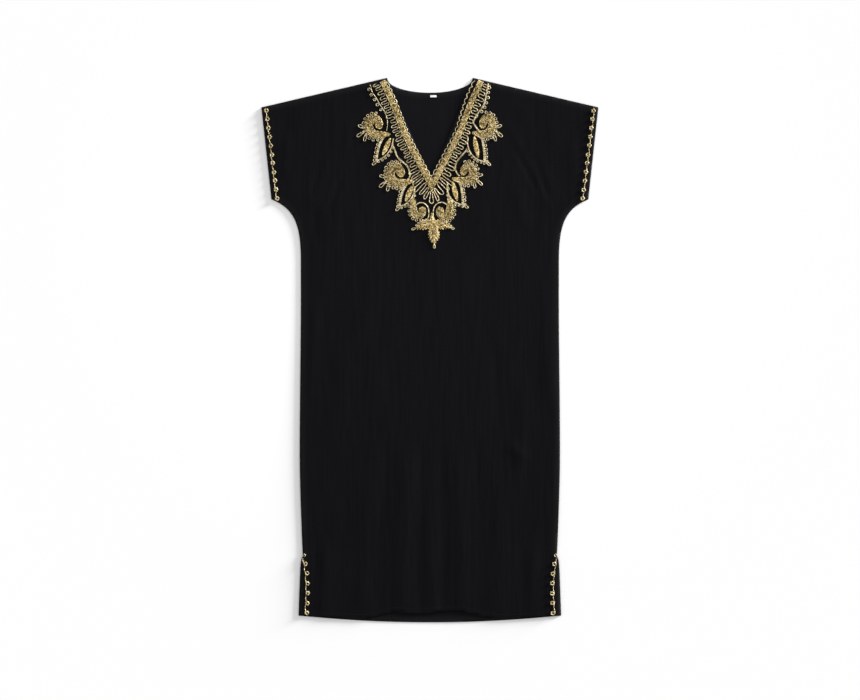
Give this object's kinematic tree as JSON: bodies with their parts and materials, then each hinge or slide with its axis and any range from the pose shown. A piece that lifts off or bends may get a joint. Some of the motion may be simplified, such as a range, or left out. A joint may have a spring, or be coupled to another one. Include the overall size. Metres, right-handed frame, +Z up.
{
  "type": "abaya",
  "caption": "Black V-neck abaya laid flat, short sleeves cut in one with the body, side slits, gold paisley cord embroidery round the neck and berry trims at cuffs and slits.",
  "frame": {"origin": "on the surface that the garment lies on, under the middle of its outline", "axes": "+Y from the hem to the neck, +Z up out of the front, +X to the right as seen from above"},
  "size_m": [0.755, 1.22, 0.0065],
  "materials": {
    "crepe": "matte",
    "gold_thread": "metallic satin",
    "label_tape": "matte"
  },
  "bodies": {
    "root": {"back_panel": "crepe", "front_panel": "crepe", "size_label": "label_tape", "neck_band": "gold_thread", "paisley_upper_right": "gold_thread", "paisley_upper_left": "gold_thread", "paisley_lower_right": "gold_thread", "paisley_lower_left": "gold_thread", "scroll_right": "gold_thread", "scroll_left": "gold_thread", "leaf_upper_right": "gold_thread", "leaf_upper_left": "gold_thread", "leaf_lower_right": "gold_thread", "leaf_lower_left": "gold_thread", "finial": "gold_thread", "cuff_trim_right": "gold_thread", "slit_trim_right": "gold_thread", "cuff_trim_left": "gold_thread", "slit_trim_left": "gold_thread"}
  },
  "joints": []
}
